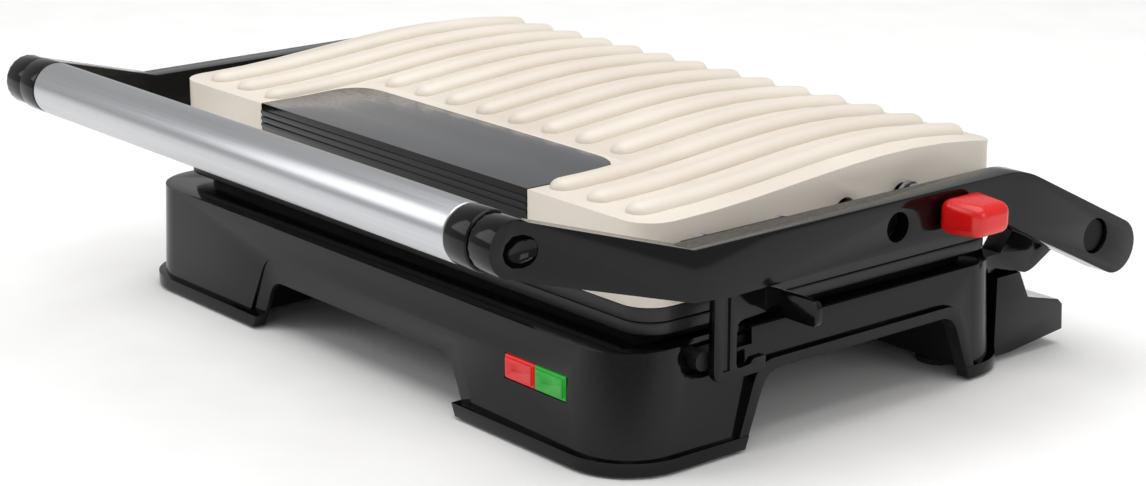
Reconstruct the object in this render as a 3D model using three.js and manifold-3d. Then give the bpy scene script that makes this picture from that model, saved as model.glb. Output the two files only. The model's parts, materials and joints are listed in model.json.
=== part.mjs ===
// Panini press: a two-plate contact grill with a floating lid. Millimetres, +X right, +Y back, +Z up.
// While the pieces are made, y = 0 is the front of the base's lip and z = 0 is the lip's underside.
// At the end the whole group is moved so that the origin is at the bottom centre of its bounding box.
import * as THREE from 'three';
import { mergeVertices } from 'three/addons/utils/BufferGeometryUtils.js';
import Module from 'manifold-3d';

const wasm = await Module();
wasm.setup();

// ---- driving dimensions -------------------------------------------------------------------------
const gap = 0.3; // clearance between pieces that touch
const overrun = 1; // how far a cutting shape runs past the face that it cuts

// base
const baseWidth = 260.4; // over the walls at the rim
const baseDepth = 165.4; // over the walls at the rim
const rimHeight = 36; // rim above the lip's underside
const baseCorner = 18.3; // plan radius of the rim
const baseWall = 2.6;
const baseDraft = 1.4; // how far the walls lean out towards the bottom
const lipOut = 3.8; // the lip stands out from the rim by this much
const lipHeight = 4;
const floorClearance = 1.1; // reflector's underside to the bottom cover
const sheet = 1.8; // thickness of the bottom cover
const wellFloor = 1.5; // underside of the cover's corner wells

// cooking plates
const plateSide = 4.4; // rim of the base to the edge of a plate, at the sides
const plateFront = 12.5; // and at the front
const plateBack = 2.7; // and at the back
const plateCorner = 10.3;
const plateLift = 2.6; // rim of the base to the underside of the lower plate's flange
const flange = 4; // thickness of a plate's flange
const flangeWidth = 6.3; // flange overhang past the tub
const tubDepth = 5.3; // flange underside to tub underside
const tubFloor = 3;
const tubWall = 3;
const tubCorner = 6;
const ridgeCount = 17;
const ridgeHeight = 3.6;
const ridgeFoot = 6;
const ridgeTop = 3;

// lid
const coverWall = 3;
const coverFrontRise = 29.65; // parting plane to the top of the lid's smooth surface, at the front
const coverCrestRise = 35.05; // and at the crest
const coverRearRise = 30.85; // and at the rear wall
const crestShare = 0.7; // where the crest stands, as a share of the lid's depth
const archStart = 14; // flat stretch behind the front wall before the arch rises
const ribCount = 14;
const ribHeight = 2.2;
const ribWidth = 8.6;
const ribFrontInset = 5.5; // front wall to the ribs' front ends
const ribRearInset = 5; // rear wall to their rear ends
const badgeWidth = 144;
const badgeDepth = 39.5;
const badgeCorner = 15;
const badgeThickness = 1.2;
const badgeToRib = 4.5;

// handle frame
const armInset = 8.6; // base rim to the inner face of an arm
const armThickness = 8.8;
const armAbovePivot = 8.3;
const armBelowPivot = 8;
const armBend = 15; // where the arms start to close in towards the handle
const handleReach = 37.9; // handle axis in front of the lip
const handleRise = 15.5; // handle axis above the lid pivots
const handleSplay = 13.4; // how far an arm closes in between the bend and the handle
const tubeRadius = 8.85;
const tubeWall = 1.3;
const ferruleLength = 10.2;
const hingeBehind = 16; // hinge axis behind the back of the lip
const tailLength = 12.4; // hinge axis to the centre of the tail's round end
const tailRadius = 8.9;
const tailFall = 26.5; // slope of the tail, degrees
const shaftRadius = 4;
const beamRadius = 9;
const boltHeadSeat = 1.2; // the hinge bolt's head stands out beyond the shaft by this much
const pivotRise = 19.85; // lid pivots above the parting plane
const pivotBehindMiddle = 5; // lid pivot behind the middle of the plates
const pivotRadius = 4;

// lid lock knob
const knobBehindPivot = 24.6;
const knobRise = 0.9; // knob above the lid pivots
const stemRadius = 3;
const knobDepth = 16; // grip length along x

// storage latch
const latchFront = 33.2; // front edge of the latch plate
const latchThickness = 2.4;
const latchTravel = 8;
const hookReach = 1.5; // inwards from the latch plate, to catch under the peg
const pegBelowRim = 4.6; // the catch's peg below the base's rim
const pegRadius = 3;
const notchDepth = 4.7; // peg axis to the bottom of the notch around it
const tabBelowArm = 11.9; // arm's underside to the underside of the finger tab
const tabReach = 23.4;
const tabHeight = 7.7;

// indicator lenses
const lensFromSide = 24; // side wall to the lenses' outer end
const lensLength = 28.8; // both lenses together
const lensBelowRim = 10.4;
const lensHeight = 8.2;

// heaters
const elementRadius = 3.2;
const reflectorThickness = 0.6;

// ---- worked-out sizes ---------------------------------------------------------------------------
const rimHalf = baseWidth / 2;
const boltHeadRadius = shaftRadius + boltHeadSeat;
const rimFront = lipOut;
const rimRear = lipOut + baseDepth;
const lipRear = rimRear + lipOut;
const plateHalf = rimHalf - plateSide;
const plateY0 = rimFront + plateFront;
const plateY1 = rimRear - plateBack;
const plateMiddle = (plateY0 + plateY1) / 2;
const lowerFlangeZ = rimHeight + plateLift;
const partingZ = lowerFlangeZ + flange + gap / 2; // the plates meet here, and the hinge axis is level with it
const lowerTubZ = lowerFlangeZ - tubDepth;
const elementZ = lowerTubZ - gap - elementRadius;
const reflectorZ = elementZ - elementRadius - gap - reflectorThickness;
const floorHeight = reflectorZ - floorClearance - sheet; // underside of the bottom cover's raised middle
const lensRight = rimHalf - lensFromSide;
const lensLeft = lensRight - lensLength;
const lensTop = rimHeight - lensBelowRim;
const lensBottom = lensTop - lensHeight;
const coverZ = partingZ + gap / 2 + flange + gap;
const hingeY = lipRear + hingeBehind;
const armInner = rimHalf + armInset;
const armOuter = armInner + armThickness;
const pivotY = plateMiddle + pivotBehindMiddle;
const knobY = pivotY + knobBehindPivot;
const pivotHeight = partingZ + pivotRise;
const knobHeight = pivotHeight + knobRise;
const handleHeight = pivotHeight + handleRise;
const armTop = pivotHeight + armAbovePivot;
const armBottom = pivotHeight - armBelowPivot;
const coverFrontHeight = partingZ + coverFrontRise;
const coverCrestHeight = partingZ + coverCrestRise;
const coverRearHeight = partingZ + coverRearRise;
const pegZ = rimHeight - pegBelowRim;

// ---- materials ----------------------------------------------------------------------------------
const finish = (color, roughness, metalness = 0) => new THREE.MeshStandardMaterial(
  { color, roughness, metalness });
const blackGloss = finish(0x141415, 0.2);
const blackSatin = finish(0x1b1b1c, 0.45);
const creamPlastic = finish(0xe9e0d4, 0.4);
const greyGloss = finish(0x55565a, 0.2);
const nonstick = finish(0x191919, 0.5);
const aluminium = finish(0xc4c6c9, 0.35, 1);
const steel = finish(0xa9abae, 0.35, 1);
const redPlastic = finish(0xd5100f, 0.25);
const redLens = finish(0xc41414, 0.1);
const greenLens = finish(0x1f9a2b, 0.1);
const rubber = finish(0x202020, 0.9);
const ceramic = finish(0xe6e2d8, 0.6);
const boardGreen = finish(0x2b6b3a, 0.5);
const wireSleeve = finish(0x8c2f20, 0.7);

// ---- solids -------------------------------------------------------------------------------------
// Closed geometry to a solid that can be joined and cut, and back.
function solid(geometry) {
  const bare = new THREE.BufferGeometry();
  bare.setAttribute('position', geometry.getAttribute('position'));
  if (geometry.index) bare.setIndex(geometry.index);
  const merged = mergeVertices(bare, 1e-4);
  return new wasm.Manifold(new wasm.Mesh({
    numProp: 3,
    vertProperties: new Float32Array(merged.getAttribute('position').array),
    triVerts: new Uint32Array(merged.index.array),
  }));
}

function geometryOf(body) {
  const mesh = body.getMesh();
  const geometry = new THREE.BufferGeometry();
  geometry.setAttribute('position', new THREE.BufferAttribute(new Float32Array(mesh.vertProperties), 3));
  geometry.setIndex(new THREE.BufferAttribute(new Uint32Array(mesh.triVerts), 1));
  return geometry;
}

const join = (...bodies) => bodies.reduce((sum, body) => sum.add(body));
const cut = (body, ...tools) => tools.reduce((rest, tool) => rest.subtract(tool), body);

function block(x0, x1, y0, y1, z0, z1) {
  const box = new THREE.BoxGeometry(x1 - x0, y1 - y0, z1 - z0);
  return solid(box.translate((x0 + x1) / 2, (y0 + y1) / 2, (z0 + z1) / 2));
}

// A round bar along 'x', 'y' or 'z' from one coordinate to another; at gives the other two coordinates.
function bar(axis, radius, from, to, at, sides = 16, endRadius = radius) {
  const rod = new THREE.CylinderGeometry(endRadius, radius, to - from, sides);
  const middle = (from + to) / 2;
  if (axis === 'x') rod.rotateZ(-Math.PI / 2).translate(middle, at[0], at[1]);
  if (axis === 'y') rod.translate(at[0], middle, at[1]);
  if (axis === 'z') rod.rotateX(Math.PI / 2).translate(at[0], at[1], middle);
  return solid(rod);
}

const outline = (points) => new THREE.Shape(points.map(([a, b]) => new THREE.Vector2(a, b)));
const straight = (depth, curveSegments = 6) => ({ depth, bevelEnabled: false, curveSegments });

// A shape drawn in (x, y), pulled along z.
const alongZ = (shape, z0, z1, segments) => solid(
  new THREE.ExtrudeGeometry(shape, straight(z1 - z0, segments)).translate(0, 0, z0));

// A shape drawn in (y, z), pulled along x.
function alongX(shape, x0, x1, segments) {
  const pulled = new THREE.ExtrudeGeometry(shape, straight(x1 - x0, segments));
  const turn = new THREE.Matrix4().makeBasis(
    new THREE.Vector3(0, 1, 0), new THREE.Vector3(0, 0, 1), new THREE.Vector3(1, 0, 0));
  return solid(pulled.applyMatrix4(turn).translate(x0, 0, 0));
}

// A shape drawn in (x, z), pulled along y.
function alongY(shape, y0, y1, segments) {
  const pulled = new THREE.ExtrudeGeometry(shape, straight(y1 - y0, segments));
  return solid(pulled.rotateX(Math.PI / 2).translate(0, y1, 0));
}

// A polygon with each corner rounded: points are [a, b, radius].
function roundedOutline(points) {
  const shape = new THREE.Shape();
  const corners = points.map(([a, b, radius = 0]) => ({ at: new THREE.Vector2(a, b), radius }));
  corners.forEach((corner, i) => {
    const before = corners[(i + corners.length - 1) % corners.length].at;
    const after = corners[(i + 1) % corners.length].at;
    const toBefore = before.clone().sub(corner.at).normalize();
    const toAfter = after.clone().sub(corner.at).normalize();
    const half = Math.acos(THREE.MathUtils.clamp(toBefore.dot(toAfter), -1, 1)) / 2;
    const reach = Math.min(corner.radius / Math.tan(half),
      before.distanceTo(corner.at) / 2, after.distanceTo(corner.at) / 2);
    const start = corner.at.clone().addScaledVector(toBefore, reach);
    const end = corner.at.clone().addScaledVector(toAfter, reach);
    if (i === 0) shape.moveTo(start.x, start.y); else shape.lineTo(start.x, start.y);
    if (reach > 0) shape.quadraticCurveTo(corner.at.x, corner.at.y, end.x, end.y);
  });
  return shape;
}

// A rectangle in plan, centred on x = 0, with round corners.
function plan(half, y0, y1, radius) {
  const shape = new THREE.Shape();
  shape.absarc(half - radius, y0 + radius, radius, -Math.PI / 2, 0);
  shape.absarc(half - radius, y1 - radius, radius, 0, Math.PI / 2);
  shape.absarc(radius - half, y1 - radius, radius, Math.PI / 2, Math.PI);
  shape.absarc(radius - half, y0 + radius, radius, Math.PI, 3 * Math.PI / 2);
  return shape;
}
const slab = (half, y0, y1, radius, z0, z1, segments) => alongZ(plan(half, y0, y1, radius), z0, z1, segments);

// The same rectangle, growing by `grow` on every side from its top to its bottom.
function leaning(half, y0, y1, radius, grow, z0, z1, segments = 6) {
  const pulled = new THREE.ExtrudeGeometry(plan(half, y0, y1, radius), straight(1, segments));
  const place = pulled.getAttribute('position');
  const centre = new THREE.Vector2(half - radius, (y1 - y0) / 2 - radius);
  const middle = (y0 + y1) / 2;
  for (let i = 0; i < place.count; i += 1) {
    const low = place.getZ(i) < 0.5;
    if (low) {
      const x = place.getX(i);
      const y = place.getY(i) - middle;
      const corner = new THREE.Vector2(Math.sign(x) * centre.x, Math.sign(y) * centre.y);
      const away = new THREE.Vector2(x, y).sub(corner).divideScalar(radius);
      place.setXY(i, x + away.x * grow, y + middle + away.y * grow);
    }
    place.setZ(i, low ? z0 : z1);
  }
  return solid(pulled);
}

// A round bar bent along a route of points, with rounded bends.
function bentBar(points, radius, steps, sides = 8) {
  const places = points.map((p) => new THREE.Vector3(...p));
  const route = new THREE.CatmullRomCurve3(places, false, 'catmullrom', 0.5);
  const section = new THREE.Shape();
  for (let i = 0; i < sides; i += 1) {
    const angle = 2 * Math.PI * i / sides;
    const [a, b] = [radius * Math.cos(angle), radius * Math.sin(angle)];
    if (i === 0) section.moveTo(a, b); else section.lineTo(a, b);
  }
  return solid(new THREE.ExtrudeGeometry(section, { steps, extrudePath: route, bevelEnabled: false }));
}

const panini = new THREE.Group();
panini.name = 'panini_press';
function addPiece(name, body, material) {
  const mesh = new THREE.Mesh(body instanceof THREE.BufferGeometry ? body : geometryOf(body), material);
  mesh.name = name;
  panini.add(mesh);
  return mesh;
}
// A right-hand piece and its mirror image.
function addPair(suffix, body, material) {
  const shape = geometryOf(body);
  addPiece(`right_${suffix}`, shape, material);
  addPiece(`left_${suffix}`, shape, material).scale.x = -1;
}

// ---- base housing -------------------------------------------------------------------------------
const innerCorner = baseCorner - baseWall;
const ledgeZ = rimHeight - baseWall; // underside of the ledge around the plate
const holeHalf = plateHalf - flangeWidth + 0.5; // opening that the lower plate's tub drops into
const holeY0 = plateY0 + flangeWidth - 0.5;
const holeY1 = plateY1 - flangeWidth + 0.5;
const postFront = [rimHalf - 12.2, rimFront + 10.2];
const postRear = [rimHalf - 30.2, (holeY1 + rimRear - baseWall) / 2];
const postHole = 1.5;
const glandPlace = [rimHalf - 50, ledgeZ - 4.2]; // x and z
const glandRadius = 4;
const earRadius = 11.5;
const earHalf = rimHalf - 4.2; // outer face of a hinge ear
const earHeel = [hingeY - 8, partingZ - 4.25]; // centre of the ear's lower rounding
const earThickness = 8;
const lensFrameDepth = 8;
const frontCutHalf = rimHalf - 73.2;
const frontCutHeight = floorHeight - 5.5;
const sideCutFront = 48.5; // at the bottom, from the lip's front
const sideCutRear = rimRear - 21.7;
const sideCutHeight = floorHeight - 0.1;
const panelMargin = 7.3; // sunk front panel around the front cut-out
const panelDepth = 0.7;
const beadWidth = 3.4;
const notchFront = latchFront - 6.1;
const notchRear = latchFront + 20.9;

function cutOutline(front, rear, lean, height, radius) {
  return roundedOutline([[front, -overrun], [front + lean, height, radius],
    [rear - lean, height, radius], [rear, -overrun]]);
}
function baseHousing() {
  const shell = leaning(rimHalf, rimFront, rimRear, baseCorner, baseDraft, 0, rimHeight, 5);
  const lip = slab(rimHalf + lipOut, 0, lipRear, baseCorner + lipOut, 0, lipHeight, 5);
  const beadOutline = cutOutline(sideCutFront - beadWidth, sideCutRear + beadWidth, 9,
    sideCutHeight + beadWidth, 9);
  const sideBead = alongX(beadOutline, -rimHalf - lipOut + gap, rimHalf + lipOut - gap);
  const beadBand = sideBead.intersect(block(-rimHalf - 9, rimHalf + 9, 0, lipRear, 0, rimHeight));
  const ears = [-1, 1].map((side) => {
    const profile = new THREE.Shape();
    const tangent = Math.atan2(partingZ - earHeel[1], hingeY - earHeel[0]) - Math.PI / 2;
    profile.moveTo(rimRear - baseCorner, earHeel[1] - earRadius);
    profile.absarc(earHeel[0], earHeel[1], earRadius, -Math.PI / 2, tangent);
    profile.absarc(hingeY, partingZ, earRadius, tangent, Math.PI * 0.72);
    profile.lineTo(rimRear - 0.7, rimHeight - 0.2);
    profile.lineTo(rimRear - baseCorner, rimHeight - 0.2);
    const x = side * earHalf;
    return alongX(profile, Math.min(x, x - side * earThickness), Math.max(x, x - side * earThickness), 7);
  });
  const standProfile = outline([[rimRear - baseWall, 1.2], [rimRear + 5.4, 1.2], [lipRear + 27.3, 3.9],
    [lipRear + 26.8, 12.6], [lipRear + 24.6, 14.7], [lipRear + 9.2, 18.6],
    [lipRear + 4.6, rimHeight - 8], [rimRear - baseWall, rimHeight - 8]]);
  const stands = [-1, 1].map((side) => {
    const outer = side * (rimHalf - 3.2);
    const inner = side * (rimHalf - 33);
    return alongX(standProfile, Math.min(outer, inner), Math.max(outer, inner));
  });
  const outside = join(shell, lip, beadBand, ...ears, ...stands);
  const hollow = leaning(rimHalf - baseWall, rimFront + baseWall, rimRear - baseWall, innerCorner,
    baseDraft, -overrun, ledgeZ, 5);
  const plateHole = slab(holeHalf, holeY0, holeY1, tubCorner, ledgeZ - overrun, rimHeight + overrun, 4);
  const frontCut = alongY(cutOutline(-frontCutHalf, frontCutHalf, 8, frontCutHeight, 8),
    -overrun, rimFront + 9);
  const sideCut = alongX(cutOutline(sideCutFront, sideCutRear, 9, sideCutHeight, 8),
    -rimHalf - 20, rimHalf + 20);
  const panelZone = alongY(cutOutline(-frontCutHalf - panelMargin, frontCutHalf + panelMargin, 12,
    frontCutHeight + 8, 9), -overrun, rimFront - baseDraft / 2 + panelDepth);
  const notch = alongX(roundedOutline([[notchFront, rimHeight + 2], [notchFront, pegZ - notchDepth, 3],
    [notchRear - 6, pegZ - notchDepth], [notchRear - 6, pegZ - 0.4],
    [notchRear, pegZ - 0.4], [notchRear, rimHeight + 2]]),
  rimHalf - 3.4, rimHalf + lipOut + 2);
  const lensWindow = block(lensLeft, lensRight, -overrun, lensFrameDepth, lensBottom, lensTop);
  const glandHole = bar('y', glandRadius + gap, rimRear - 9, rimRear + 9, glandPlace);
  const posts = [];
  const postHoles = [];
  for (const side of [-1, 1]) {
    posts.push(bar('z', 4, wellFloor + sheet + gap, ledgeZ + 1, [side * postFront[0], postFront[1]], 8));
    posts.push(bar('z', 2.7, wellFloor + sheet + gap, ledgeZ + 1, [side * postRear[0], postRear[1]], 8));
    for (const [x, y] of [postFront, postRear]) postHoles.push(bar('z', postHole, 0, 18, [side * x, y], 6));
  }
  const earBore = bar('x', shaftRadius + gap, -rimHalf - overrun, rimHalf + overrun, [hingeY, partingZ]);
  const frontWall = block(-rimHalf, rimHalf, -overrun, rimFront + 1, lipHeight + 0.01, rimHeight);
  const walls = cut(outside, hollow, plateHole, frontCut, sideCut, panelZone.intersect(frontWall), notch,
    lensWindow, glandHole, earBore);
  return cut(join(walls, ...posts), ...postHoles);
}
addPiece('base_housing', baseHousing(), blackGloss);

// ---- bottom cover, feet and screws --------------------------------------------------------------
const coverEdge = baseWall + 0.5;
const wellHalf = frontCutHalf + panelMargin + 1.7; // inner side of the corner wells
const frontWell = sideCutFront - 2.5;
const rearWell = sideCutRear + 2;
const footPlaces = [[1, -1], [-1, -1], [1, 1], [-1, 1]].map(([side, end]) => [
  side * (rimHalf - (end < 0 ? 22.2 : 18.2)), end < 0 ? rimFront + 22.2 : rimRear - 13.2]);
const footNames = ['front_right', 'front_left', 'rear_right', 'rear_left'];
const footHole = 2.8;
const screwPlaces = [postFront, [-postFront[0], postFront[1]], postRear, [-postRear[0], postRear[1]]];

function bottomCover() {
  const half = rimHalf - coverEdge;
  const level = (z0, z1) => slab(half, rimFront + coverEdge, rimRear - coverEdge, innerCorner - 0.5,
    z0, z1, 4);
  const corners = (shrink, z0, z1) => [[1, -1], [-1, -1], [1, 1], [-1, 1]].map(([side, end]) => {
    const x = side * (wellHalf + shrink);
    const far = side * (rimHalf + 9);
    const y = end < 0 ? frontWell - shrink : rearWell + shrink;
    const away = end < 0 ? -9 : lipRear + 9;
    return block(Math.min(x, far), Math.max(x, far), Math.min(y, away), Math.max(y, away), z0, z1);
  });
  const full = level(wellFloor, floorHeight + sheet);
  const wells = join(...corners(0, 0, 40)).intersect(full);
  const hollows = corners(sheet, wellFloor + sheet, 60);
  const middle = cut(level(floorHeight, floorHeight + sheet), ...corners(0.01, 0, 60));
  const holes = [...footPlaces.map((place) => bar('z', footHole, 0, 9, place, 8)),
    ...screwPlaces.map((place) => bar('z', postHole + gap, 0, 9, place, 6))];
  return cut(join(cut(wells, ...hollows), middle), ...holes);
}
addPiece('bottom_cover', bottomCover(), blackSatin);

footPlaces.forEach((place, i) => {
  const pad = bar('z', 7.2, -1, wellFloor - gap, place, 14);
  const stem = bar('z', footHole - gap, 0, 6, place, 8);
  const barb = bar('z', footHole + 0.7, wellFloor + sheet + gap, 6, place, 8, footHole - 0.8);
  addPiece(`foot_${footNames[i]}`, join(pad, stem, barb), rubber);
});
screwPlaces.forEach((place, i) => {
  const head = bar('z', 3, -0.4, wellFloor - gap, place, 10);
  const shank = bar('z', postHole - gap, 0, 17, place, 6);
  addPiece(`base_screw_${i + 1}`, join(head, shank), steel);
});

// ---- cooking plates and their heaters -----------------------------------------------------------
const tubHalf = plateHalf - flangeWidth;
const tubY0 = plateY0 + flangeWidth;
const tubY1 = plateY1 - flangeWidth;
const ridgePitch = (tubHalf * 2 - 2 * tubWall - ridgeFoot) / ridgeCount;

function cookingPlate() { // the lower one
  const rim = slab(plateHalf, plateY0, plateY1, plateCorner, lowerFlangeZ, lowerFlangeZ + flange, 5);
  const tub = slab(tubHalf, tubY0, tubY1, tubCorner, lowerTubZ, lowerFlangeZ + 1, 3);
  const dish = slab(tubHalf - tubWall, tubY0 + tubWall, tubY1 - tubWall, tubCorner - tubWall,
    lowerTubZ + tubFloor, partingZ + 1, 3);
  const section = (x) => {
    const z = lowerTubZ + tubFloor;
    return outline([[x - ridgeFoot / 2, z - 0.5], [x + ridgeFoot / 2, z - 0.5], [x + ridgeFoot / 2, z],
      [x + ridgeTop / 2, z + ridgeHeight], [x - ridgeTop / 2, z + ridgeHeight], [x - ridgeFoot / 2, z]]);
  };
  const ridges = [];
  for (let i = 0; i < ridgeCount; i += 1) {
    const x = (i - (ridgeCount - 1) / 2) * ridgePitch;
    ridges.push(alongY(section(x), tubY0 + tubWall + 3, tubY1 - tubWall - 3));
  }
  return join(cut(join(rim, tub), dish), ...ridges);
}
// Turns a lower piece over, so that it faces the lower one across the parting.
function turnedOver(body) {
  const shape = geometryOf(body);
  const turn = new THREE.Matrix4().makeTranslation(0, 2 * plateMiddle, 2 * partingZ)
    .multiply(new THREE.Matrix4().makeRotationX(Math.PI));
  return shape.applyMatrix4(turn);
}
const lowerPlate = cookingPlate();
addPiece('lower_plate', lowerPlate, nonstick);
addPiece('upper_plate', turnedOver(lowerPlate), nonstick);

const elementHalf = tubHalf - 27;
const elementY0 = tubY0 + 18;
const elementY1 = tubY1 - 14;
const bendStep = 12; // how far each bend's guide points stand from its corner
const element = bentBar([[-28, elementY1, elementZ], [-elementHalf + bendStep, elementY1, elementZ],
  [-elementHalf, elementY1 - bendStep, elementZ], [-elementHalf, elementY0 + bendStep, elementZ],
  [-elementHalf + bendStep, elementY0, elementZ], [0, elementY0, elementZ],
  [elementHalf - bendStep, elementY0, elementZ], [elementHalf, elementY0 + bendStep, elementZ],
  [elementHalf, elementY1 - bendStep, elementZ], [elementHalf - bendStep, elementY1, elementZ],
  [28, elementY1, elementZ]], elementRadius, 36, 6);
addPiece('lower_element', element, steel);
addPiece('upper_element', turnedOver(element), steel);

const lipUp = 2.5; // turned-up edge of a reflector
const reflectorHalf = tubHalf - 13;
const reflector = cut(
  slab(reflectorHalf, tubY0 + 8, tubY1 - 8, 8, reflectorZ, reflectorZ + reflectorThickness + lipUp, 3),
  slab(reflectorHalf - reflectorThickness, tubY0 + 8 + reflectorThickness, tubY1 - 8 - reflectorThickness,
    8 - reflectorThickness, reflectorZ + reflectorThickness, rimHeight, 3),
);
addPiece('lower_reflector', reflector, steel);
addPiece('upper_reflector', turnedOver(reflector), steel);

const sensorHeight = 2 * elementRadius - gap;
const thermostat = bar('z', 8, lowerTubZ - gap - sensorHeight, lowerTubZ - gap, [35, plateMiddle], 18);
const fuse = bar('x', 1.9, -46, -28, [plateMiddle, lowerTubZ - gap - 2], 10);
addPiece('lower_thermostat', thermostat, ceramic);
addPiece('upper_thermostat', turnedOver(thermostat), ceramic);
addPiece('lower_thermal_fuse', fuse, steel);
addPiece('upper_thermal_fuse', turnedOver(fuse), steel);

// ---- electrics in the base ----------------------------------------------------------------------
const lensMiddle = (lensLeft + lensRight) / 2;
const lensBack = rimFront + 4.2;
const lensProud = 0.9;
const lensFace = rimFront - baseDraft * 0.4 - lensProud;
function lens(x0, x1) {
  const body = block(x0, x1, lensFace + 0.8, lensBack, lensBottom + gap, lensTop - gap);
  const face = block(x0 + 0.8, x1 - 0.8, lensFace, lensBack, lensBottom + gap + 0.8, lensTop - gap - 0.8);
  const stop = block(x0, x1, rimFront + baseWall + gap, lensBack, lensBottom - 1.2, lensTop + 1.2);
  return join(body, face, stop);
}
addPiece('red_lens', lens(lensLeft + gap, lensMiddle - gap / 2), redLens);
addPiece('green_lens', lens(lensMiddle + gap / 2, lensRight - gap), greenLens);

const lampY = lensBack + 0.9;
const lampLength = 5;
const lampZ = (lensBottom + lensTop) / 2;
const lamp = (x) => bar('y', 2.4, lampY, lampY + lampLength, [x, lampZ], 12);
addPiece('red_lamp', lamp((lensLeft + lensMiddle) / 2), redLens);
addPiece('green_lamp', lamp((lensMiddle + lensRight) / 2), greenLens);
const boardY = lampY + lampLength + gap;
const board = block(lensLeft - 4, lensRight + 4, boardY, boardY + 1.6, lampZ - 11.5, lampZ + 8.5);
addPiece('indicator_board', board, boardGreen);

const terminalTop = 15;
const terminals = [rimHalf - 36, rimFront + 26.6]; // left and front corner of the terminal block
const terminalBlock = cut(
  block(terminals[0], terminals[0] + 24, terminals[1], terminals[1] + 12, wellFloor + sheet + gap,
    terminalTop),
  ...[6, 12, 18].map((x) => bar('z', 1.8, 9, terminalTop + 1, [terminals[0] + x, terminals[1] + 6], 10)),
);
addPiece('terminal_block', terminalBlock, ceramic);

const glandInner = rimRear - baseWall - 4;
const gland = cut(join(
  bar('y', glandRadius, glandInner, rimRear + 7, glandPlace, 16, glandRadius - 0.8),
  bar('y', glandRadius + 1.6, rimRear + baseDraft + gap, rimRear + 3, glandPlace, 16),
), bar('y', 2.3, glandInner - 1, rimRear + 9, glandPlace, 12));
addPiece('cord_gland', gland, rubber);

const channelX = (tubHalf + rimHalf - baseWall) / 2 - 0.6; // between the tub and the side wall
const leadRadius = 1.6;
const leadZ = (floorHeight + sheet + ledgeZ) / 2 + 0.5; // over the bottom cover, under the ledge
addPiece('supply_lead', bentBar([
  [glandPlace[0], glandInner - 1, glandPlace[1]], [glandPlace[0] + 2, glandInner - 6, leadZ - 5.5],
  [glandPlace[0] + 16, glandInner - 8, leadZ - 14.5], [channelX - 9, rearWell + 8, leadZ - 9.5],
  [channelX - 1, rearWell + 5, leadZ - 0.9], [channelX, rearWell - 6, leadZ],
  [channelX, plateMiddle, leadZ], [channelX, frontWell + 8, leadZ],
  [channelX - 0.5, frontWell - 4, leadZ - 0.9], [channelX - 5, frontWell - 7.5, terminalTop + 6],
  [terminals[0] + 18, terminals[1] + 6, terminalTop + 2.3]], leadRadius, 34, 6), wireSleeve);

// ---- handle frame -------------------------------------------------------------------------------
const tailSlope = THREE.MathUtils.degToRad(tailFall);
const tailDir = [Math.cos(tailSlope), -Math.sin(tailSlope)];
const tailEnd = [hingeY + tailLength * tailDir[0], partingZ + tailLength * tailDir[1]];
const tailHalf = tailRadius / Math.cos(tailSlope); // measured straight up
const shoulder = (tailEnd[1] + tailHalf - armTop) / Math.tan(tailSlope) + tailEnd[0];
const underShoulder = (tailEnd[1] - tailHalf - armBottom) / Math.tan(tailSlope) + tailEnd[0];
const tipHoleDepth = 4.1; // recess for the hinge bolt's head

function armBody() {
  const rear = new THREE.Shape();
  rear.moveTo(armBend, armTop);
  rear.lineTo(armBend, armBottom + 1);
  rear.lineTo(armBend + 15, armBottom);
  rear.lineTo(underShoulder - 5, armBottom + 1.4);
  rear.quadraticCurveTo(underShoulder, armBottom + 1, underShoulder + 6, armBottom - 6 * Math.tan(tailSlope));
  rear.lineTo(tailEnd[0] - tailRadius * Math.sin(tailSlope), tailEnd[1] - tailRadius * Math.cos(tailSlope));
  rear.absarc(tailEnd[0], tailEnd[1], tailRadius, -Math.PI / 2 - tailSlope, Math.PI / 2 - tailSlope);
  rear.lineTo(shoulder + 7, armTop - 7 * Math.tan(tailSlope));
  rear.quadraticCurveTo(shoulder, armTop, shoulder - 8, armTop);
  const straightPart = alongX(rear, armInner, armOuter, 8);
  const front = outline([[armBend, armBottom + 1], [armBend, armTop],
    [-handleReach, handleHeight + tubeRadius - 0.7], [-handleReach, handleHeight - tubeRadius + 0.1]]);
  const slope = handleSplay / (armBend + handleReach);
  const shear = new THREE.Matrix4().set(1, slope, 0, -slope * armBend, 0, 1, 0, 0, 0, 0, 1, 0, 0, 0, 0, 1);
  const closingIn = solid(geometryOf(alongX(front, armInner, armOuter)).applyMatrix4(shear));
  const boss = bar('x', tubeRadius - 0.5, armInner - handleSplay - 0.6, armOuter - handleSplay,
    [-handleReach, handleHeight], 20);
  const dimple = new THREE.SphereGeometry(1, 12, 6).scale(2.6, 6.4, 5)
    .translate(armOuter - handleSplay, 2.6 - handleReach, handleHeight - 0.8);
  const headRecess = bar('x', boltHeadRadius + 0.7, armOuter - tipHoleDepth, armOuter + overrun,
    [hingeY, partingZ]);
  const shaftBore = bar('x', shaftRadius + gap, armInner - overrun, armOuter, [hingeY, partingZ]);
  const pivotBore = bar('x', pivotRadius + gap, armInner - overrun, armOuter - 4, [pivotY, pivotHeight]);
  const pivotMouth = bar('x', pivotRadius + 0.7, armOuter - 5, armOuter + overrun, [pivotY, pivotHeight]);
  const handleBore = bar('x', 2.6, armInner - handleSplay - 2, armOuter - handleSplay - 4,
    [-handleReach, handleHeight], 12);
  return cut(join(straightPart, closingIn, boss), solid(dimple), headRecess, shaftBore, pivotBore, pivotMouth,
    handleBore);
}
const arm = armBody();
const latchScrewY = [latchFront + 0.8, latchFront + 30.8];
const latchScrewZ = armTop - 5.2;
const screwHoles = latchScrewY.map((y) => bar(
  'x', 1.8, armInner - overrun, armInner + 5, [y, latchScrewZ], 10));
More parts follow.
